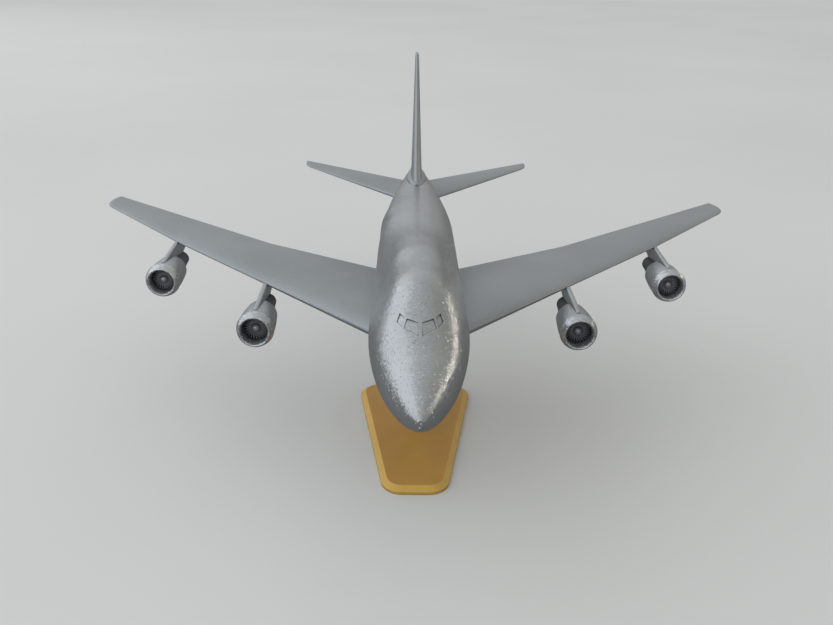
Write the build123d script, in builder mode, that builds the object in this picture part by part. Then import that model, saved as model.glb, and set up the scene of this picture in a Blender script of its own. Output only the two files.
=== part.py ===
from build123d import *
from math import cos, pi, radians, sin, sqrt
import os

# Desktop display model of a short-bodied four-engine airliner with an upper-deck hump, printed at 1:200.
# Millimetres, +Z up. The origin is the centre of the underside of the stand base, the nose points to -Y
# and port is +X. Airframe pieces are drawn in an airframe frame (station s = Y aft of the nose tip,
# Z above the main-lobe centre line) and placed on the stand by one tilt and shift at export.

model_scale = 200.0
mm_per_metre = 1000.0 / model_scale
wall = 2.0
ring_points = 20
fit = 0.05

# ------------------------------------------------------------------ fuselage driving dimensions
lobe_radius = 3.25 * mm_per_metre
body_length = 54.3 * mm_per_metre
tip_height = -0.4 * mm_per_metre
keel_depth = 3.4 * mm_per_metre
nose_width_run = 11.74 * mm_per_metre
nose_width_power = 0.68
nose_keel_run = 13.06 * mm_per_metre
nose_keel_power = 0.57
nose_crown_run = 9.6 * mm_per_metre
nose_crown_power = 0.65
nose_crown_rise = 3.0 * mm_per_metre
nose_level_run = 10.0 * mm_per_metre
deck_rise = 1.91 * mm_per_metre
deck_start = 4.6 * mm_per_metre
deck_full = 9.8 * mm_per_metre
hump_fall_start = 16.5 * mm_per_metre
hump_fall_end = 27.0 * mm_per_metre
hump_waist = 0.14
hump_waist_hold = 6.0
tail_taper_start = 34.0 * mm_per_metre
tail_taper_power = 1.44
tail_taper_share = 0.905
upsweep_start = 31.0 * mm_per_metre
upsweep_rise = 5.3 * mm_per_metre
upsweep_power = 1.7
crown_fall_start = 42.0 * mm_per_metre
crown_fall = 0.7 * mm_per_metre
belly_start = 80.0
belly_end = 168.0
belly_blend = 16.0
belly_extra = 2.2
belly_squareness = 2.5
nose_seam = 78.0
tail_seam = 176.0
spigot_length = 5.0
spigot_wall = 1.3
spigot_gap = 0.3
spigot_root = 0.5
hollow_start = 8.0
hollow_end = 266.0
cutter_width = 60.0
cutter_height = 90.0

# ------------------------------------------------------------------ wing driving dimensions
wing_root_x = 12.6
wing_kink_x = 66.0
wing_bend_x = 105.5
wing_tip_x = 147.5
wing_root_le = 81.3
wing_le_slope = 0.848
wing_root_te = 154.6
wing_kink_te = 167.5
wing_tip_te = 215.6
wing_root_le_z = -12.9
wing_bend_le_z = -1.5
wing_tip_le_z = 5.7
wing_root_te_z = -12.5
wing_kink_te_z = -4.2
wing_tip_te_z = 4.9
wing_root_thickness = 0.115
wing_kink_thickness = 0.09
wing_tip_thickness = 0.085
wing_tip_rounding = 2.4
wing_tip_sweep = 1.3
edge_thickness = 0.5
spar_station = 113.0
spar_chord = 9.0
spar_depth = 3.0
spar_reach = 38.0

# ------------------------------------------------------------------ tail driving dimensions
tailplane_root_x = 4.0
tailplane_tip_x = 62.0
tailplane_root_le = 214.4
tailplane_tip_le = 270.4
tailplane_root_te = 259.0
tailplane_tip_te = 281.4
tailplane_root_z = 4.5
tailplane_tip_z = 10.7
tailplane_thickness = 0.09
tailplane_pin_radius = 0.875
tailplane_pin_station = 243.0
tailplane_pin_rise = 0.8
tailplane_pin_reach = 15.0
fin_foot_z = 12.5
fin_tip_z = 71.6
fin_foot_le = 196.6
fin_tip_le = 262.6
fin_foot_te = 254.0
fin_tip_te = 281.0
fin_thickness = 0.095

# ------------------------------------------------------------------ engine driving dimensions
throat_radius = 5.0
lip_crest_radius = 5.6
lip_radius = 6.25
lip_length = 3.4
cowl_radius = 6.85
cowl_end_radius = 6.0
cowl_length = 18.0
cowl_edge = 0.4
bore_length = 11.6
fan_radius = 4.8
fan_station = 5.8
fan_depth = 2.4
blade_count = 24
blade_thickness = 0.34
blade_chord = 3.3
blade_pitch = 42.0
hub_radius = 1.85
hub_tip = 2.9
hub_end = 8.0
axle_radius = 0.6
axle_engagement = 2.5
axle_length = 6.6
core_start = 8.1
core_radius = 4.5
core_end_radius = 3.3
core_length = 33.0
core_mouth_radius = 2.9
core_mouth_depth = 6.0
vane_station = 9.9
vane_depth = 2.6
vane_thickness = 0.6
vane_count = 8
plug_stud = 0.9
plug_stud_length = 3.0
plug_radius = 1.95
plug_tip = 37.0
pylon_width = 2.1
pylon_reach = 23.0
pylon_front = 5.4
pylon_step = 0.6
inner_engine = (60.7, 92.9, -15.85)
outer_engine = (105.9, 132.8, -10.9)

# ------------------------------------------------------------------ stand driving dimensions
base_length = 81.0
base_wide = 53.8
base_narrow = 24.8
base_thickness = 3.0
base_corner = 8.5
base_bevel = 2.3
base_edge = 1.3
nose_ahead_of_base = 119.5
nose_height = 87.9
nose_up = 4.46
arm_station = 10.5
arm_foot_length = 15.0
arm_foot_width = 6.4
arm_top_length = 11.0
arm_top_width = 5.0
tenon_length = 8.0
tenon_width = 3.2
tenon_height = 7.0
foot_tenon_length = 11.0
foot_tenon_width = 4.0
foot_tenon_depth = 1.8

arm_foot_corner = 2.4
arm_top_corner = 2.0
arm_overrun = 6.0
tenon_root = 4.0
tenon_corner = 0.8
easing = 0.4

# ------------------------------------------------------------------ keel block that takes spar and tenon
socket_station = 127.5
block_start = 103.0
block_end = 142.0
block_width = 18.0
block_floor = -21.0
block_top = -5.5
block_inset = 0.8

# ------------------------------------------------------------------ flight deck glazing
pane_depth = 0.3
pane_reach = 2.5
front_pane = [(26.9, 87.6), (30.4, 69.0), (33.1, 73.6), (31.3, 87.4)]
side_pane = [(31.0, 66.6), (33.4, 59.5), (35.6, 64.5), (33.7, 70.6)]

placement = Location((0, -nose_ahead_of_base, nose_height), (-nose_up, 0, 0))


def ramp(value, start, end):
    t = min(max((value - start) / (end - start), 0.0), 1.0)
    return t * t * (3 - 2 * t)


def rounded_run(s, run, power):
    t = min(max(s / run, 0.0), 1.0)
    return (1 - (1 - t) ** 2) ** power


def half_width(s):
    taper = min(max((s - tail_taper_start) / (body_length - tail_taper_start), 0.0), 1.0)
    nose = rounded_run(s, nose_width_run, nose_width_power)
    return lobe_radius * nose * (1 - tail_taper_share * taper**tail_taper_power)


def keel(s):
    lift = min(max((s - upsweep_start) / (body_length - upsweep_start), 0.0), 1.0)
    low = tip_height - (keel_depth + tip_height) * rounded_run(s, nose_keel_run, nose_keel_power)
    return low + upsweep_rise * lift**upsweep_power - belly_extra * belly(s)


def crown(s):
    nose = nose_crown_rise * rounded_run(s, nose_crown_run, nose_crown_power)
    deck = deck_rise * ramp(s, deck_start, deck_full)
    top = tip_height + nose + deck
    full = tip_height + nose_crown_rise + deck_rise
    fall = (full - lobe_radius) * ramp(s, hump_fall_start, hump_fall_end)
    return top - fall - crown_fall * ramp(s, crown_fall_start, body_length)


def belly(s):
    grow = ramp(s, belly_start, belly_start + belly_blend)
    return grow * (1 - ramp(s, belly_end - belly_blend, belly_end))


def middle(s):
    start = tip_height * (1 - ramp(s, 0, nose_level_run))
    lift = ramp(s, upsweep_start, body_length)
    return start + (0.5 * (crown(s) + keel(s)) - start) * lift


# One point of the body skin, pulled inward by the given inset.
def skin_point(s, angle, inset=0.0):
    w = max(half_width(s) - inset, 0.2)
    centre = middle(s)
    across = cos(angle)
    up = sin(angle)
    if up >= 0:
        waist = hump_waist * ramp(s, deck_start, deck_full)
        waist = waist * (1 - ramp(s, hump_fall_start + hump_waist_hold, hump_fall_end))
        x = w * across * (1 - waist * sin(2 * angle) ** 2)
        z = centre + max(crown(s) - centre - inset, 0.2) * up
        return (x, z)
    power = 2 / (2 + belly_squareness * belly(s))
    side = 1 if across >= 0 else -1
    x = w * side * abs(across) ** power
    z = centre - max(centre - keel(s) - inset, 0.2) * abs(up) ** power
    return (x, z)


def skin_xyz(s, degrees_up, side=1, inset=0.0):
    x, z = skin_point(s, radians(degrees_up), inset)
    return Vector(side * x, s, z)


def body_loft(inset, stations):
    with BuildPart() as body:
        for s in stations:
            frame = Plane(origin=(0, s, 0), x_dir=(1, 0, 0), z_dir=(0, -1, 0))
            ring = [skin_point(s, 2 * pi * (n + 0.5) / ring_points, inset) for n in range(ring_points)]
            with BuildSketch(frame):
                with BuildLine():
                    Spline(ring, periodic=True)
                make_face()
        loft()
    return body.part


nose_stations = [0.4, 1.4, 3.4, 7.0, 12.0, 19.0, 27.0, 36.0, 46.0, 58.0, 70.0]
main_stations = [84.0, 97.0, 112.0, 132.0, 150.0, 165.0]
tail_stations = [182.0, 202.0, 222.0, 240.0, 256.0, body_length]
all_stations = nose_stations + main_stations + tail_stations
body_skin = body_loft(0.0, all_stations)
print("body skin", body_skin.volume, body_skin.is_valid)


# Slab of space between two stations, used to cut the body into its printed sections.
def slab(start, end):
    with BuildPart() as piece:
        with BuildSketch(Plane.XZ.offset(-start)):
            Rectangle(cutter_width, cutter_height)
        extrude(amount=-(end - start))
    return piece.part


# ------------------------------------------------------------------ lifting surfaces
airfoil_stations = [1.0, 0.86, 0.72, 0.58, 0.44, 0.32, 0.21, 0.12, 0.06, 0.024, 0.006]


# Half thickness of a symmetric section with a blunt printed trailing edge.
def half_thickness(t, chord, ratio):
    shape = 0.2969 * sqrt(t) - 0.126 * t - 0.3516 * t**2 + 0.2843 * t**3 - 0.1036 * t**4
    return 5 * ratio * chord * shape + 0.5 * edge_thickness * t


# Outline of one section: from the trailing edge over the top, round the nose and back below.
def section_outline(le, te, le_rise, te_rise, ratio):
    chord = te - le
    upper = []
    lower = []
    for t in airfoil_stations:
        half = half_thickness(t, chord, ratio)
        rise = le_rise + (te_rise - le_rise) * t
        upper.append((le + chord * t, rise + half))
        lower.append((le + chord * t, rise - half))
    return upper + [(le, le_rise)] + lower[::-1]


# Straight-lined loft through sections given as (frame, outline).
def lifting_surface(sections):
    with BuildPart() as surface:
        for frame, outline in sections:
            with BuildSketch(frame):
                with BuildLine():
                    Spline(outline)
                    Line(outline[-1], outline[0])
                make_face()
        loft(ruled=True)
    return surface.part


def between(value, start, end, first, last):
    return first + (last - first) * (value - start) / (end - start)


def upright_frame(x):
    return Plane(origin=(x, 0, 0), x_dir=(0, 1, 0), z_dir=(1, 0, 0))


def wing_le(x):
    return wing_root_le + (x - wing_root_x) * wing_le_slope


def wing_te(x):
    if x < wing_kink_x:
        return between(x, wing_root_x, wing_kink_x, wing_root_te, wing_kink_te)
    return between(x, wing_kink_x, wing_tip_x, wing_kink_te, wing_tip_te)


def wing_le_z(x):
    if x < wing_bend_x:
        return between(x, wing_root_x, wing_bend_x, wing_root_le_z, wing_bend_le_z)
    return between(x, wing_bend_x, wing_tip_x, wing_bend_le_z, wing_tip_le_z)


def wing_te_z(x):
    if x < wing_kink_x:
        return between(x, wing_root_x, wing_kink_x, wing_root_te_z, wing_kink_te_z)
    return between(x, wing_kink_x, wing_tip_x, wing_kink_te_z, wing_tip_te_z)


def wing_ratio(x):
    if x < wing_kink_x:
        return between(x, wing_root_x, wing_kink_x, wing_root_thickness, wing_kink_thickness)
    return between(x, wing_kink_x, wing_tip_x, wing_kink_thickness, wing_tip_thickness)


# Height of the wing chord line over the axis at a spanwise and lengthwise place.
def wing_chord_z(x, s):
    t = (s - wing_le(x)) / (wing_te(x) - wing_le(x))
    return wing_le_z(x) + (wing_te_z(x) - wing_le_z(x)) * t


wing_sections = []
for x in [wing_root_x, wing_kink_x, wing_bend_x]:
    wing_sections.append((x, 0.0))
for t in [0.0, 0.5, 0.8, 0.95, 1.0]:
    x = wing_tip_x - wing_tip_rounding * (1 - t)
    wing_sections.append((x, wing_tip_rounding * wing_tip_sweep * (1 - sqrt(1 - t * t))))
wing_rings = []
for x, sweep_back in wing_sections:
    ring = section_outline(wing_le(x) + sweep_back, wing_te(x), wing_le_z(x), wing_te_z(x), wing_ratio(x))
    wing_rings.append((upright_frame(x), ring))
wing_blank = lifting_surface(wing_rings)
print("wing", wing_blank.volume, wing_blank.is_valid)

tailplane_rings = []
for t, back in [(0.0, 0.0), (0.95, 0.0), (0.985, 1.4), (1.0, 4.5)]:
    x = between(t, 0, 1, tailplane_root_x, tailplane_tip_x)
    le = between(t, 0, 1, tailplane_root_le, tailplane_tip_le) + back
    te = between(t, 0, 1, tailplane_root_te, tailplane_tip_te)
    rise = between(t, 0, 1, tailplane_root_z, tailplane_tip_z)
    ring = section_outline(le, te, rise, rise + 0.3, tailplane_thickness)
    tailplane_rings.append((upright_frame(x), ring))
tailplane_blank = lifting_surface(tailplane_rings)
print("tailplane", tailplane_blank.volume, tailplane_blank.is_valid)

fin_rings = []
for t, back in [(0.0, 0.0), (0.96, 0.0), (0.99, 1.2), (1.0, 3.6)]:
    z = between(t, 0, 1, fin_foot_z, fin_tip_z)
    le = between(t, 0, 1, fin_foot_le, fin_tip_le) + back
    te = between(t, 0, 1, fin_foot_te, fin_tip_te)
    ring = section_outline(le, te, 0, 0, fin_thickness)
    fin_rings.append((Plane(origin=(0, 0, z), x_dir=(0, 1, 0), z_dir=(0, 0, 1)), ring))
fin_blade = lifting_surface(fin_rings)

# Saddle fairing that spreads the foot of the fin over the crown of the tail.
fairing_stations = [
    (199.0, 1.2, 0.9),
    (206.0, 3.4, 1.9),
    (218.0, 4.7, 2.6),
    (236.0, 4.2, 2.5),
    (252.0, 2.4, 1.7),
]
with BuildPart() as saddle:
    for s, across, high in fairing_stations:
        with BuildSketch(Plane(origin=(0, s, crown(s) - 0.5), x_dir=(1, 0, 0), z_dir=(0, -1, 0))):
            Ellipse(across, high)
    loft()
with BuildPart() as fin:
    add(fin_blade)
    add(saddle.part)
print("fin", fin.part.volume, fin.part.is_valid, len(fin.part.solids()))

# ------------------------------------------------------------------ joiners inside the airframe
spar_rise = wing_chord_z(spar_reach, spar_station) - wing_chord_z(wing_root_x, spar_station)
spar_slope = spar_rise / (spar_reach - wing_root_x)
spar_root_z = wing_chord_z(wing_root_x, spar_station) - wing_root_x * spar_slope


# V-shaped spar that carries both wings through the belly; grow opens it into its own socket.
def spar(grow):
    reach = spar_reach + 4 * grow
    tip = spar_root_z + reach * spar_slope
    high = spar_depth / 2 + grow
    profile = [
        (0, spar_root_z - high),
        (reach, tip - high),
        (reach, tip + high),
        (0, spar_root_z + high),
        (-reach, tip + high),
        (-reach, tip - high),
    ]
    with BuildPart() as piece:
        with BuildSketch(Plane.XZ.offset(-(spar_station - spar_chord / 2 - grow))):
            Polygon(*profile, align=None)
        extrude(amount=-(spar_chord + 2 * grow))
    return piece.part


with BuildPart() as wing_joiner:
    add(spar(0.0))
    chamfer(wing_joiner.edges().filter_by(Axis.Y), easing)
spar_socket = spar(fit)

with BuildPart() as tailplane_joiner:
    with BuildSketch(Plane.YZ.offset(-tailplane_pin_reach)):
        with Locations((tailplane_pin_station, tailplane_root_z + tailplane_pin_rise)):
            Circle(tailplane_pin_radius)
    extrude(amount=2 * tailplane_pin_reach)
    chamfer(tailplane_joiner.edges(), 0.5 * easing)
with BuildPart() as pin_socket:
    with BuildSketch(Plane.YZ.offset(-tailplane_pin_reach - 4 * fit)):
        with Locations((tailplane_pin_station, tailplane_root_z + tailplane_pin_rise)):
            Circle(tailplane_pin_radius + 0.6 * fit)
    extrude(amount=2 * tailplane_pin_reach + 8 * fit)

with BuildPart() as port_wing:
    add(wing_blank)
    add(spar_socket, mode=Mode.SUBTRACT)
with BuildPart() as starboard_wing:
    add(port_wing.part)
    mirror(about=Plane.YZ, mode=Mode.REPLACE)
with BuildPart() as port_tailplane:
    add(tailplane_blank)
    add(pin_socket.part, mode=Mode.SUBTRACT)
with BuildPart() as starboard_tailplane:
    add(port_tailplane.part)
    mirror(about=Plane.YZ, mode=Mode.REPLACE)
print("wings", port_wing.part.is_valid, starboard_wing.part.is_valid, len(port_wing.part.solids()))

# ------------------------------------------------------------------ stand
mount_tilt = radians(nose_up)


# Place of an airframe point once the airframe sits on the stand.
def placed(s, z):
    y = s * cos(mount_tilt) + z * sin(mount_tilt) - nose_ahead_of_base
    return (y, z * cos(mount_tilt) - s * sin(mount_tilt) + nose_height)


arm_top_y, arm_top_z = placed(socket_station, keel(socket_station))
half = base_length / 2
base_outline = [
    (-base_narrow / 2, -half),
    (base_narrow / 2, -half),
    (base_wide / 2, half),
    (-base_wide / 2, half),
]
with BuildPart() as stand_base:
    with BuildSketch() as footprint:
        Polygon(*base_outline, align=None)
        fillet(footprint.vertices(), base_corner)
    extrude(amount=base_edge)
    with BuildSketch(Plane.XY.offset(base_edge)):
        add(footprint.sketch)
    with BuildSketch(Plane.XY.offset(base_thickness)):
        add(footprint.sketch)
        offset(amount=-base_bevel, mode=Mode.REPLACE)
    loft(ruled=True)
    with BuildSketch(Plane.XY.offset(base_thickness)):
        with Locations((0, arm_station)):
            RectangleRounded(foot_tenon_width + 2 * fit, foot_tenon_length + 2 * fit, tenon_corner)
    extrude(amount=-(foot_tenon_depth + fit), mode=Mode.SUBTRACT)
print("base", stand_base.part.volume, stand_base.part.is_valid)

body_on_stand = body_skin.moved(placement)
with BuildPart() as stand_arm:
    with BuildSketch(Plane.XY.offset(base_thickness)):
        with Locations((0, arm_station)):
            RectangleRounded(arm_foot_width, arm_foot_length, arm_foot_corner)
    with BuildSketch(Plane.XY.offset(arm_top_z + arm_overrun)):
        with Locations((0, arm_top_y)):
            RectangleRounded(arm_top_width, arm_top_length, arm_top_corner)
    loft()
    add(body_on_stand, mode=Mode.SUBTRACT)
    with BuildSketch(Plane.XY.offset(arm_top_z - tenon_root)):
        with Locations((0, arm_top_y)):
            Rectangle(tenon_width, tenon_length)
    extrude(amount=tenon_root + tenon_height)
    chamfer(stand_arm.faces().sort_by(Axis.Z)[-1].edges(), easing)
    with BuildSketch(Plane.XY.offset(base_thickness + 1)):
        with Locations((0, arm_station)):
            RectangleRounded(foot_tenon_width, foot_tenon_length, tenon_corner)
    extrude(amount=-(1 + foot_tenon_depth))
print("arm", stand_arm.part.volume, stand_arm.part.is_valid, len(stand_arm.part.solids()))
with BuildPart() as arm_socket:
    with BuildSketch(Plane.XY.offset(arm_top_z - tenon_root)):
        with Locations((0, arm_top_y)):
            Rectangle(tenon_width + 2 * fit, tenon_length + 2 * fit)
    extrude(amount=tenon_root + tenon_height + 2 * fit)
socket_in_airframe = arm_socket.part.moved(placement.inverse())

# ------------------------------------------------------------------ body sections
hollow_stations = [station for station in all_stations if hollow_start < station < hollow_end]
hollow = body_loft(wall, [hollow_start] + hollow_stations + [hollow_end])


# Ring that reaches forward out of a section into the hollow of the one ahead of it, on a collar that
# is rooted in the section's own wall. Each of its faces is the hollow's own, drawn in by a set distance.
def spigot(seam):
    with BuildPart() as core:
        add(hollow)
        add(slab(seam - spigot_length - 1, seam + spigot_length), mode=Mode.INTERSECT)

    def drawn_in(distance):
        factor = 1 - distance / (half_width(seam) - wall)
        return scale(core.part, by=(factor, 1, factor), mode=Mode.PRIVATE)

    with BuildPart() as ring:
        add(drawn_in(spigot_gap))
        add(slab(seam - spigot_length, seam), mode=Mode.INTERSECT)
    with BuildPart() as collar:
        add(drawn_in(-spigot_root))
        add(slab(seam, seam + spigot_length - 1), mode=Mode.INTERSECT)
    with BuildPart() as piece:
        add(ring.part)
        add(collar.part)
        add(drawn_in(spigot_wall), mode=Mode.SUBTRACT)
    return piece.part


# Flat pane sunk into the skin; corners are (station, degrees up) pairs.
def pane(corners, side):
    points = [skin_xyz(s, degrees_up, side) for s, degrees_up in corners]
    centre = (points[0] + points[1] + points[2] + points[3]) * 0.25
    out = (points[2] - points[0]).cross(points[3] - points[1])
    if out.Y > 0:
        out = out * -1
    frame = Plane(origin=centre, x_dir=points[1] - points[0], z_dir=out).offset(-pane_depth)
    flat = [frame.to_local_coords(point) for point in points]
    with BuildPart() as piece:
        with BuildSketch(frame):
            Polygon(*[(point.X, point.Y) for point in flat], align=None)
        extrude(amount=pane_reach)
    return piece.part


with BuildPart() as nose_section:
    add(body_skin)
    add(slab(-1, nose_seam), mode=Mode.INTERSECT)
    add(hollow, mode=Mode.SUBTRACT)
    for side in (1, -1):
        add(pane(front_pane, side), mode=Mode.SUBTRACT)
        add(pane(side_pane, side), mode=Mode.SUBTRACT)
print("nose", nose_section.part.volume, nose_section.part.is_valid, len(nose_section.part.solids()))

with BuildPart() as keel_block:
    with BuildSketch(Plane.XY.offset(block_floor)):
        with Locations((0, (block_start + block_end) / 2)):
            Rectangle(block_width, block_end - block_start)
    extrude(amount=block_top - block_floor)
    add(body_loft(block_inset, main_stations), mode=Mode.INTERSECT)
with BuildPart() as centre_section:
    add(body_skin)
    add(slab(nose_seam, tail_seam), mode=Mode.INTERSECT)
    add(hollow, mode=Mode.SUBTRACT)
    add(spigot(nose_seam))
    add(keel_block.part)
    add(socket_in_airframe, mode=Mode.SUBTRACT)
    add(spar_socket, mode=Mode.SUBTRACT)
    add(wing_blank, mode=Mode.SUBTRACT)
    add(mirror(wing_blank, about=Plane.YZ, mode=Mode.PRIVATE), mode=Mode.SUBTRACT)
print("centre", centre_section.part.volume, centre_section.part.is_valid, len(centre_section.part.solids()))

with BuildPart() as tail_section:
    add(body_skin)
    add(slab(tail_seam, body_length + 1), mode=Mode.INTERSECT)
    add(hollow, mode=Mode.SUBTRACT)
    add(spigot(tail_seam))
    add(tailplane_blank, mode=Mode.SUBTRACT)
    add(mirror(tailplane_blank, about=Plane.YZ, mode=Mode.PRIVATE), mode=Mode.SUBTRACT)
    add(fin.part, mode=Mode.SUBTRACT)
print("tail", tail_section.part.volume, tail_section.part.is_valid, len(tail_section.part.solids()))

# ------------------------------------------------------------------ engine, drawn along +Y from its lip plane
lip_curve = [
    (throat_radius, 0.5 * lip_length),
    (throat_radius + 0.15, 0.13 * lip_length),
    (lip_crest_radius, 0.0),
    (lip_radius, 0.17 * lip_length),
    (cowl_radius, lip_length),
]
cowl_curve = [
    (cowl_radius, lip_length),
    (cowl_radius, 0.45 * cowl_length),
    (0.4 * cowl_radius + 0.6 * cowl_end_radius, 0.83 * cowl_length),
    (cowl_end_radius, cowl_length),
]
core_curve = [
    (hub_radius + 0.4, core_start),
    (0.85 * core_radius, core_start + 4.0),
    (core_radius, core_start + 8.0),
    (core_radius, core_start + 12.0),
    (core_end_radius, core_length),
]
plug_curve = [
    (plug_radius - 0.05, core_length - core_mouth_depth),
    (plug_radius, core_length - 0.6 * core_mouth_depth),
    (0.6 * plug_radius, 0.5 * (core_length + plug_tip)),
    (0.25, plug_tip),
]


# Solid turned about the engine axis from a smooth curve closed by straight lines through the corners.
def turned(curve, corners):
    outline = [curve[-1]] + corners + [curve[0]]
    with BuildPart() as piece:
        with BuildSketch():
            with BuildLine():
                Spline(curve)
                Polyline(*outline)
            make_face()
        revolve(axis=Axis.Y)
    return piece.part


# Round pin on the engine axis between two stations.
def axial_pin(radius, start, end):
    with BuildPart() as pin:
        with BuildSketch(Plane.XZ.offset(-start)):
            Circle(radius)
        extrude(amount=start - end)
    return pin.part


intake_lip = turned(lip_curve, [(throat_radius, lip_length)])
cowl = turned(
    cowl_curve,
    [(cowl_end_radius - cowl_edge, cowl_length), (throat_radius, bore_length), (throat_radius, lip_length)],
)
cowl_envelope = turned(cowl_curve, [(0, cowl_length), (0, lip_length)])
core_envelope = turned(core_curve, [(0, core_length), (0, core_start)])

with BuildPart(Plane.XZ.offset(-fan_station)) as blades:
    with PolarLocations((hub_radius + fan_radius) / 2, blade_count):
        Box(fan_radius - hub_radius + 1.0, blade_thickness, blade_chord, rotation=(blade_pitch, 0, 0))
    Cylinder(fan_radius, fan_depth, mode=Mode.INTERSECT)
hub_curve = [(0, hub_tip), (0.72 * hub_radius, hub_tip + 0.6), (hub_radius, fan_station - fan_depth / 2)]
with BuildPart() as fan:
    add(blades.part)
    with BuildSketch():
        with BuildLine():
            Spline(hub_curve, tangents=[(1, 0), (0.1, 1)])
            Polyline(hub_curve[-1], (hub_radius, hub_end), (0, hub_end), hub_curve[0])
        make_face()
    revolve(axis=Axis.Y)
    add(axial_pin(axle_radius + fit, hub_end - axle_engagement - 0.5, hub_end), mode=Mode.SUBTRACT)
print("fan", fan.part.volume, fan.part.is_valid, len(fan.part.solids()))

with BuildPart(Plane.XZ.offset(-vane_station)) as vanes:
    with PolarLocations(0.5 * (hub_radius + throat_radius), vane_count, start_angle=180 / vane_count):
        Box(throat_radius - hub_radius + 0.8, vane_thickness, vane_depth)
    Cylinder(throat_radius, vane_depth, mode=Mode.INTERSECT)
axle_start = hub_end - axle_engagement
axle_end = axle_start + axle_length
plug_seat = core_length - core_mouth_depth
with BuildPart() as engine_core:
    add(
        turned(
            core_curve,
            [
                (core_end_radius - cowl_edge, core_length),
                (core_mouth_radius, plug_seat),
                (0, plug_seat),
                (0, core_start),
            ],
        )
    )
    add(vanes.part)
    add(axial_pin(axle_radius, core_start, axle_end), mode=Mode.SUBTRACT)
    add(axial_pin(plug_stud, plug_seat - plug_stud_length, plug_seat), mode=Mode.SUBTRACT)
print("core", engine_core.part.volume, engine_core.part.is_valid, len(engine_core.part.solids()))
with BuildPart() as fan_axle:
    add(axial_pin(axle_radius, axle_start, axle_end))
    chamfer(fan_axle.edges(), 0.12)
exhaust_plug = turned(
    plug_curve,
    [
        (0, plug_tip),
        (0, plug_seat - plug_stud_length),
        (plug_stud, plug_seat - plug_stud_length),
        (plug_stud, plug_seat),
    ],
)
print("plug", exhaust_plug.volume, exhaust_plug.is_valid)


# Blade-thin strut from the cowl top to the wing, drawn on port and closed against its neighbours.
def pylon(engine):
    x, lip_s, axis_z = engine
    le_s = wing_le(x)
    rear_s = le_s + pylon_reach
    seat = Location((x, lip_s, axis_z))
    cowl_top = axis_z + cowl_radius
    outline = [
        (lip_s + pylon_front, cowl_top - 1.0),
        (lip_s + pylon_front, cowl_top + 0.2),
        (lip_s + pylon_front + pylon_step, cowl_top + pylon_step),
        (le_s + 0.4, wing_le_z(x) + 0.15),
        (le_s + 6.0, wing_chord_z(x, le_s + 6.0)),
        (rear_s, wing_chord_z(x, rear_s)),
        (rear_s, wing_chord_z(x, rear_s) - 2.2),
        (lip_s + core_length - 1.5, axis_z + core_end_radius - 0.6),
        (lip_s + 12, axis_z + 3.0),
        (lip_s + 12, cowl_top - 2.0),
    ]
    with BuildPart() as piece:
        with BuildSketch(Plane.YZ.offset(x - pylon_width / 2)):
            Polygon(*outline, align=None)
        extrude(amount=pylon_width)
        along = piece.edges().filter_by(Axis.X, reverse=True)
        front = [edge for edge in along if (edge @ 0.5).Y < le_s and (edge @ 0.5).Z > cowl_top - 0.5]
        fillet(front, 0.42 * pylon_width)
        add(wing_blank, mode=Mode.SUBTRACT)
        add(cowl_envelope.moved(seat), mode=Mode.SUBTRACT)
        add(core_envelope.moved(seat), mode=Mode.SUBTRACT)
    return piece.part


# ------------------------------------------------------------------ export
def save(shape, name):
    shape.label = name
    export_step(shape, "parts/" + name + ".step")
    box = shape.bounding_box()
    print(name, round(shape.volume, 2), shape.is_valid, len(shape.solids()), box.min, box.max)


os.makedirs("parts", exist_ok=True)
save(stand_base.part, "stand_base")
save(stand_arm.part, "stand_arm")
airframe = {
    "nose_section": nose_section.part,
    "centre_section": centre_section.part,
    "tail_section": tail_section.part,
    "port_wing": port_wing.part,
    "starboard_wing": starboard_wing.part,
    "wing_joiner": wing_joiner.part,
    "port_tailplane": port_tailplane.part,
    "starboard_tailplane": starboard_tailplane.part,
    "tailplane_joiner": tailplane_joiner.part,
    "fin": fin.part,
}
axles = []
for side_name, side in (("port", 1), ("starboard", -1)):
    for place_name, engine in (("inner", inner_engine), ("outer", outer_engine)):
        seat = Location((side * engine[0], engine[1], engine[2]))
        prefix = side_name + "_" + place_name + "_"
        strut = pylon(engine)
        if side < 0:
            strut = mirror(strut, about=Plane.YZ, mode=Mode.PRIVATE)
        airframe[prefix + "pylon"] = strut
        airframe[prefix + "intake_lip"] = intake_lip.moved(seat)
        airframe[prefix + "cowl"] = cowl.moved(seat)
        airframe[prefix + "fan"] = fan.part.moved(seat)
        airframe[prefix + "engine_core"] = engine_core.part.moved(seat)
        airframe[prefix + "exhaust_plug"] = exhaust_plug.moved(seat)
        axles.append(fan_axle.part.moved(seat))
airframe["fan_axles"] = Compound(children=axles)
for name, shape in airframe.items():
    save(shape.moved(placement), name)
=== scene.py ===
from math import radians

import bpy
from mathutils import Euler, Matrix, Vector


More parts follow.
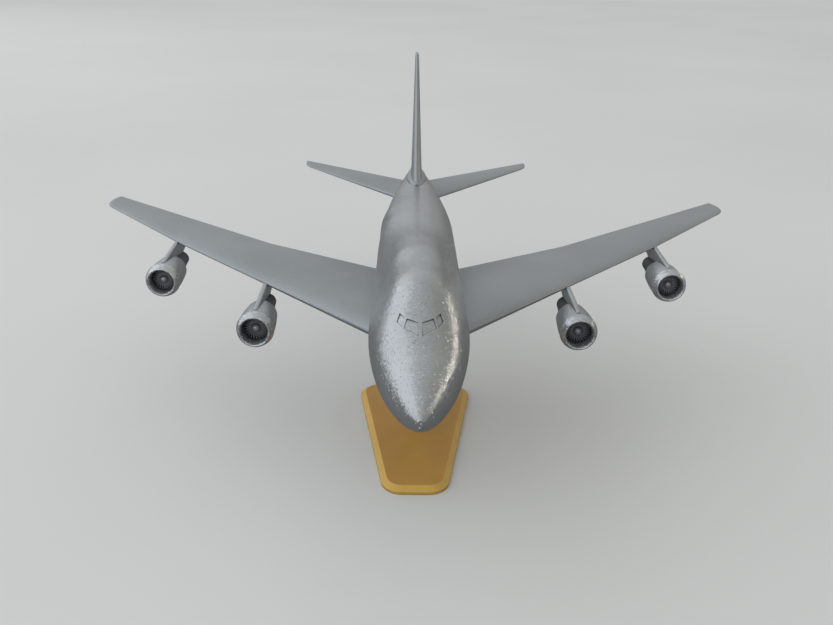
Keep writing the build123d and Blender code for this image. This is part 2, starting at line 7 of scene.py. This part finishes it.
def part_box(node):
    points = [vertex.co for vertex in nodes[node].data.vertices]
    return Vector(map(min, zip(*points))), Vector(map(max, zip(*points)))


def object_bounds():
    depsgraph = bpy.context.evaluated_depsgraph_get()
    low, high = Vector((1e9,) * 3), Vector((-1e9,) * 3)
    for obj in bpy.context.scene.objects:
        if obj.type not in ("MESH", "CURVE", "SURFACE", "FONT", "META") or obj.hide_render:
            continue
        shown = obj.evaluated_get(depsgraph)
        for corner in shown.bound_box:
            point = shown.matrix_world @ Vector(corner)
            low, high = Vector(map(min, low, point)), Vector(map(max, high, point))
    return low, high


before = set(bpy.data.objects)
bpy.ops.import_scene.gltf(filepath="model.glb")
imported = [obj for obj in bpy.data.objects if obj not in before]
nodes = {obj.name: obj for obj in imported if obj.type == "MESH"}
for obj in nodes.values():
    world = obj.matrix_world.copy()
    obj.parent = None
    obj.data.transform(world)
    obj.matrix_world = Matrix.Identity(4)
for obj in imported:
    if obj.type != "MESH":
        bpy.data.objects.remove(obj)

cad_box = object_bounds()

# ------------------------------------------------------------------ finish dimensions
MM = 0.001
X_AXIS = 0
Y_AXIS = 1
LAYER_HEIGHT = 0.2 * MM
LAYER_DEPTH = 0.02 * MM
WAVE_PERIOD = 0.314
FLAKE_SIZE = 0.28 * MM
FLAKE_RARITY = 5.0
FLAKE_LEAP = 6.5
# Reach and depth of the painted shade in creases and recesses.
CREASE_REACH = 0.7 * MM
CREASE_SHADE = 0.28
# The fan's wider reach is painted shade for the depth inside the intake.
FAN_CREASE_REACH = 2.5 * MM

# How many patches of each kind fit in a metre.
TONE_PATCHES = 38.0
MOTTLE_PATCHES = 90.0
DIMPLES = 600.0
RIPPLE_WANDER = 40.0
LAYER_RUN = 12.0
WIRE_LINES_ACROSS = 4000.0
WIRE_LINES_ALONG = 60.0


# ------------------------------------------------------------------ node helpers
class Tree:
    """A material's node tree with short calls for adding and wiring nodes."""

    def __init__(self, name):
        self.material = bpy.data.materials.new(name)
        self.material.use_nodes = True
        self.nodes = self.material.node_tree.nodes
        self.links = self.material.node_tree.links
        self.surface = self.nodes["Principled BSDF"]

    def add(self, kind, **settings):
        node = self.nodes.new(kind)
        for key, value in settings.items():
            setattr(node, key, value)
        return node

    def link(self, source, target):
        self.links.new(source, target)

    def object_place(self):
        return self.add("ShaderNodeTexCoord").outputs["Object"]

    def ramp(self, factor, stops):
        node = self.add("ShaderNodeValToRGB")
        elements = node.color_ramp.elements
        for element, (place, colour) in zip(elements, stops):
            element.position = place
            element.color = (*colour, 1)
        self.link(factor, node.inputs["Fac"])
        return node.outputs["Color"]

    def span(self, factor, low, high):
        node = self.add("ShaderNodeMapRange")
        node.inputs["To Min"].default_value = low
        node.inputs["To Max"].default_value = high
        self.link(factor, node.inputs["Value"])
        return node.outputs["Result"]

    def stretched(self, place, scales):
        node = self.add("ShaderNodeMapping")
        node.inputs["Scale"].default_value = scales
        self.link(place, node.inputs["Vector"])
        return node.outputs["Vector"]

    def noise(self, place, scale, detail):
        node = self.add("ShaderNodeTexNoise")
        node.inputs["Scale"].default_value = scale
        node.inputs["Detail"].default_value = detail
        self.link(place, node.inputs["Vector"])
        return node.outputs["Fac"]

    def maths(self, operation, first, second):
        node = self.add("ShaderNodeVectorMath", operation=operation)
        self.link(first, node.inputs[0])
        self.link(second, node.inputs[1])
        return node.outputs["Vector"]

    # Painted shade: narrow recesses hold less light, so an occlusion mask darkens the colour there.
    def shaded_creases(self, colour, reach):
        hollow = self.add("ShaderNodeAmbientOcclusion", samples=8)
        hollow.inputs["Distance"].default_value = reach
        shade = self.add("ShaderNodeMapRange")
        shade.inputs["From Min"].default_value = 0.45
        shade.inputs["From Max"].default_value = 0.95
        shade.inputs["To Min"].default_value = CREASE_SHADE
        self.link(hollow.outputs["AO"], shade.inputs["Value"])
        shaded = self.maths("MULTIPLY", colour, shade.outputs["Result"])
        self.link(shaded, self.surface.inputs["Base Color"])

    # Flakes all lean a little; a few of them lean far enough to catch a light on their own.
    def glinting_normal(self, place, strength):
        cells = self.add("ShaderNodeTexVoronoi")
        cells.inputs["Scale"].default_value = 1.0 / FLAKE_SIZE
        self.link(place, cells.inputs["Vector"])
        centred = self.add("ShaderNodeVectorMath", operation="SUBTRACT")
        self.link(cells.outputs["Color"], centred.inputs[0])
        centred.inputs[1].default_value = (0.5, 0.5, 0.5)
        chance = self.add("ShaderNodeTexWhiteNoise")
        self.link(cells.outputs["Position"], chance.inputs["Vector"])
        rare = self.add("ShaderNodeMath", operation="POWER")
        self.link(chance.outputs["Value"], rare.inputs[0])
        rare.inputs[1].default_value = FLAKE_RARITY
        reach = self.add("ShaderNodeMath", operation="MULTIPLY_ADD")
        self.link(rare.outputs["Value"], reach.inputs[0])
        reach.inputs[1].default_value = FLAKE_LEAP * strength
        reach.inputs[2].default_value = strength
        lean = self.add("ShaderNodeVectorMath", operation="SCALE")
        self.link(centred.outputs["Vector"], lean.inputs[0])
        self.link(reach.outputs["Value"], lean.inputs["Scale"])
        normal = self.add("ShaderNodeNewGeometry").outputs["Normal"]
        leaning = self.add("ShaderNodeVectorMath", operation="NORMALIZE")
        self.link(self.maths("ADD", normal, lean.outputs["Vector"]), leaning.inputs[0])
        return leaning.outputs["Vector"]

    def bump(self, height, strength, distance, below=None):
        node = self.add("ShaderNodeBump")
        node.inputs["Strength"].default_value = strength
        node.inputs["Distance"].default_value = distance
        self.link(height, node.inputs["Height"])
        if below is not None:
            self.link(below, node.inputs["Normal"])
        return node.outputs["Normal"]

    # Printed surface: layer lines stacked along one axis, uneven gloss, and fine flakes that glint.
    def print_finish(self, place, layers, gloss, metallic, glint):
        dimples = self.noise(place, DIMPLES, 3.0)
        self.link(self.span(dimples, *gloss), self.surface.inputs["Roughness"])
        self.surface.inputs["Metallic"].default_value = metallic

        scales = [LAYER_RUN] * 3
        scales[layers] = 1.0 / LAYER_HEIGHT
        uneven = self.noise(self.stretched(place, scales), 1.0, 1.0)
        ripple = self.add("ShaderNodeTexWave", wave_type="BANDS", bands_direction="XYZ"[layers])
        ripple.inputs["Scale"].default_value = WAVE_PERIOD / LAYER_HEIGHT
        ripple.inputs["Distortion"].default_value = 0.6
        ripple.inputs["Detail Scale"].default_value = RIPPLE_WANDER
        self.link(place, ripple.inputs["Vector"])

        flakes = self.glinting_normal(place, glint)
        steps = self.bump(ripple.outputs["Fac"], 0.4, LAYER_DEPTH, flakes)
        layered = self.bump(uneven, 0.35, 1.5 * LAYER_DEPTH, steps)
        dimpled = self.bump(dimples, 0.2, 1.5 * LAYER_DEPTH, layered)
        self.link(dimpled, self.surface.inputs["Normal"])


# ------------------------------------------------------------------ materials
def printed_plastic(name, dark, light, layers, gloss, metallic, glint, crease=CREASE_REACH):
    tree = Tree(name)
    place = tree.object_place()
    tone = tree.ramp(tree.noise(place, TONE_PATCHES, 4.0), [(0.3, dark), (0.7, light)])
    # Painted shade darkens the tone in creases and recesses.
    tree.shaded_creases(tone, crease)
    tree.print_finish(place, layers, gloss, metallic, glint)
    return tree.material


# Gold print with painted light and shade: the sloped border is coloured paler than the flat top,
# standing in for light on the slopes and the model's shade on the top.
def gold_plastic(name, top, slope):
    tree = Tree(name)
    place = tree.object_place()
    mottle = tree.noise(place, MOTTLE_PATCHES, 5.0)
    lit_slope_colour = tree.ramp(mottle, [(0.35, slope[0]), (0.7, slope[1])])
    shaded_top_colour = tree.ramp(mottle, [(0.3, top[0]), (0.75, top[1])])
    upward = tree.add("ShaderNodeSeparateXYZ")
    tree.link(tree.add("ShaderNodeNewGeometry").outputs["True Normal"], upward.inputs["Vector"])
    flatness = tree.add("ShaderNodeMapRange")
    flatness.inputs["From Min"].default_value = 0.90
    flatness.inputs["From Max"].default_value = 0.99
    tree.link(upward.outputs["Z"], flatness.inputs["Value"])
    # Painted light and shade: steep faces take the paler slope colour, flat faces the darker top colour.
    mix = tree.add("ShaderNodeMix", data_type="RGBA")
    tree.link(flatness.outputs["Result"], mix.inputs["Factor"])
    tree.link(lit_slope_colour, mix.inputs["A"])
    tree.link(shaded_top_colour, mix.inputs["B"])
    # Painted shade darkens the colour in creases and recesses.
    tree.shaded_creases(mix.outputs["Result"], CREASE_REACH)
    tree.print_finish(place, layers=Y_AXIS, gloss=(0.42, 0.58), metallic=0.1, glint=0.04)
    return tree.material


def drawn_wire(name):
    tree = Tree(name)
    scales = (WIRE_LINES_ACROSS, WIRE_LINES_ALONG, WIRE_LINES_ACROSS)
    lines = tree.noise(tree.stretched(tree.object_place(), scales), 1.0, 2.0)
    steel = tree.ramp(lines, [(0.2, (0.42, 0.42, 0.44)), (0.8, (0.62, 0.62, 0.64))])
    tree.link(steel, tree.surface.inputs["Base Color"])
    tree.link(tree.span(lines, 0.22, 0.42), tree.surface.inputs["Roughness"])
    tree.link(tree.bump(lines, 0.2, 0.01 * MM), tree.surface.inputs["Normal"])
    tree.surface.inputs["Metallic"].default_value = 0.95
    return tree.material


body_silver = printed_plastic(
    "body_silver",
    dark=(0.42, 0.435, 0.44),
    light=(0.50, 0.515, 0.52),
    layers=Y_AXIS,
    gloss=(0.15, 0.22),
    metallic=0.82,
    glint=0.16,
)
wing_silver = printed_plastic(
    "wing_silver",
    dark=(0.33, 0.35, 0.36),
    light=(0.37, 0.39, 0.40),
    layers=X_AXIS,
    gloss=(0.40, 0.50),
    metallic=0.7,
    glint=0.06,
)
engine_silver = printed_plastic(
    "engine_silver",
    dark=(0.40, 0.42, 0.435),
    light=(0.48, 0.50, 0.515),
    layers=Y_AXIS,
    gloss=(0.26, 0.36),
    metallic=0.78,
    glint=0.10,
)
# Painted highlight: the intake lips are coloured paler than the cowls, standing in for the light on
# their forward-facing rings.
lip_silver_painted_highlight = printed_plastic(
    "lip_silver_painted_highlight",
    dark=(0.50, 0.52, 0.53),
    light=(0.60, 0.62, 0.63),
    layers=Y_AXIS,
    gloss=(0.20, 0.30),
    metallic=0.8,
    glint=0.28,
)
# Painted shade: the fan is coloured darker than the cowls and its crease darkening reaches further,
# standing in for the shade deep inside the intake.
fan_grey_painted_shade = printed_plastic(
    "fan_grey_painted_shade",
    dark=(0.24, 0.255, 0.265),
    light=(0.31, 0.325, 0.335),
    layers=Y_AXIS,
    gloss=(0.30, 0.45),
    metallic=0.7,
    glint=0.08,
    crease=FAN_CREASE_REACH,
)
# Painted shade: the engine core and exhaust plug are coloured near black, standing in for the shadow
# under the wing.
core_grey_painted_shade = printed_plastic(
    "core_grey_painted_shade",
    dark=(0.10, 0.11, 0.12),
    light=(0.15, 0.16, 0.17),
    layers=Y_AXIS,
    gloss=(0.40, 0.55),
    metallic=0.5,
    glint=0.06,
)
# Painted light and shade: the slope colours are paler than the top colours.
stand_gold = gold_plastic(
    "stand_gold",
    top=((0.58, 0.31, 0.065), (0.64, 0.35, 0.08)),
    slope=((0.70, 0.43, 0.09), (0.76, 0.48, 0.11)),
)
wire_steel = drawn_wire("wire_steel")


def finish_for(name):
    if name.startswith("stand"):
        return stand_gold
    if name == "fan_axles":
        return wire_steel
    if name.endswith("fan"):
        return fan_grey_painted_shade
    if name.endswith("exhaust_plug") or name.endswith("engine_core"):
        return core_grey_painted_shade
    if name.endswith("intake_lip"):
        return lip_silver_painted_highlight
    if name.endswith("cowl") or name.endswith("pylon"):
        return engine_silver
    if "wing" in name or "tailplane" in name or name == "fin":
        return wing_silver
    return body_silver


for name, node in nodes.items():
    node.data.materials.clear()
    node.data.materials.append(finish_for(name))


# ------------------------------------------------------------------ floor
# The floor is pale where it is seen, and bounces only a little light up onto the underside of the model.
def plain_floor(reach):
    tree = Tree("pale_floor")
    tint = tree.noise(tree.object_place(), 3.0, 3.0)
    pale = tree.ramp(tint, [(0.3, (0.80, 0.80, 0.78)), (0.7, (0.84, 0.84, 0.82))])
    mix = tree.add("ShaderNodeMix", data_type="RGBA")
    tree.link(tree.add("ShaderNodeLightPath").outputs["Is Camera Ray"], mix.inputs["Factor"])
    mix.inputs["A"].default_value = (0.28, 0.28, 0.28, 1)
    tree.link(pale, mix.inputs["B"])
    tree.link(mix.outputs["Result"], tree.surface.inputs["Base Color"])
    tree.surface.inputs["Roughness"].default_value = 1.0
    tree.surface.inputs["Specular IOR Level"].default_value = 0.0
    mesh = bpy.data.meshes.new("floor")
    corners = [(-reach, -reach, 0), (reach, -reach, 0), (reach, reach, 0), (-reach, reach, 0)]
    mesh.from_pydata(corners, [], [(0, 1, 2, 3)])
    floor = bpy.data.objects.new("floor", mesh)
    floor.data.materials.append(tree.material)
    bpy.context.scene.collection.objects.link(floor)


plain_floor(reach=6.0)


# ------------------------------------------------------------------ lights
def area_light(name, placement, size, power, colour):
    data = bpy.data.lights.new(name, "AREA")
    data.shape = "RECTANGLE"
    data.size = size[0]
    data.size_y = size[1]
    data.energy = power
    data.color = colour
    light = bpy.data.objects.new(name, data)
    light.matrix_world = placement
    light.visible_camera = False
    bpy.context.scene.collection.objects.link(light)
    return light


def soft_light(name, place, size, power, colour):
    place = Vector(place)
    turn = (model_centre - place).to_track_quat("-Z", "Y").to_matrix()
    area_light(name, Matrix.Translation(place) @ turn.to_4x4(), size, power, colour)


# A long thin light strung between two places and facing the nose; it shows only as a reflection.
def tube_light(name, start, end, width, power, colour):
    start = Vector(start)
    end = Vector(end)
    middle = (start + end) / 2
    along = (end - start).normalized()
    back = middle - nose_tip
    back = (back - back.dot(along) * along).normalized()
    turn = Matrix((along, back.cross(along), back)).transposed()
    size = ((end - start).length, width)
    light = area_light(name, Matrix.Translation(middle) @ turn.to_4x4(), size, power, colour)
    light.visible_diffuse = False


model_low, model_high = (Vector(corner) for corner in cad_box)
nose_low, nose_high = (Vector(corner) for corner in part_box("nose_section"))
model_centre = (model_low + model_high) / 2
nose_tip = Vector((0, nose_low.y, (nose_low.z + nose_high.z) / 2))
soft_light("window_left", place=(-1.1, 0.40, 0.80), size=(2.4, 1.6), power=3.7, colour=(0.93, 0.97, 1.0))
soft_light("front_fill", place=(-0.35, -1.3, 0.55), size=(0.9, 0.6), power=2.0, colour=(1.0, 0.99, 0.97))
tube_light(
    "tube_right",
    start=(0.48, 0.68, 0.01),
    end=(0.76, -0.10, 0.36),
    width=0.025,
    power=0.42,
    colour=(1.0, 0.93, 0.80),
)


# A soft studio surround: cool and bright on the window side, dimmer and warmer on the other.
def studio_surround(window_side, far_side, strength):
    world = bpy.data.worlds.new("studio")
    world.use_nodes = True
    sky = world.node_tree
    across = sky.nodes.new("ShaderNodeSeparateXYZ")
    sky.links.new(sky.nodes.new("ShaderNodeTexCoord").outputs["Generated"], across.inputs["Vector"])
    spread = sky.nodes.new("ShaderNodeMapRange")
    spread.inputs["From Min"].default_value = -1.0
    spread.inputs["From Max"].default_value = 1.0
    sky.links.new(across.outputs["X"], spread.inputs["Value"])
    tint = sky.nodes.new("ShaderNodeValToRGB")
    cool, warm = tint.color_ramp.elements
    cool.position = 0.15
    cool.color = (*window_side, 1)
    warm.position = 0.85
    warm.color = (*far_side, 1)
    sky.links.new(spread.outputs["Result"], tint.inputs["Fac"])
    sky.links.new(tint.outputs["Color"], sky.nodes["Background"].inputs["Color"])
    sky.nodes["Background"].inputs["Strength"].default_value = strength
    bpy.context.scene.world = world


studio_surround(window_side=(0.84, 0.88, 0.93), far_side=(0.45, 0.44, 0.41), strength=0.97)
bpy.context.scene.view_settings.view_transform = "Standard"

# ------------------------------------------------------------------ camera
# It looks down on the nose from ahead and a little to starboard of the centre line.
camera_place = (-3.6 * MM, -296.7 * MM, 205.0 * MM)
camera_down = radians(26.04)
camera_turn = radians(-0.68)
camera_roll = radians(0.88)
level = radians(90)
camera_data = bpy.data.cameras.new("camera")
camera_data.lens = 35.2
camera_data.sensor_width = 36.0
camera_data.clip_start = 0.01
camera = bpy.data.objects.new("camera", camera_data)
camera.location = camera_place
look = Euler((level - camera_down, 0, camera_turn)).to_matrix()
camera.rotation_euler = (look @ Matrix.Rotation(camera_roll, 3, "Z")).to_euler()
bpy.context.scene.collection.objects.link(camera)
bpy.context.scene.camera = camera
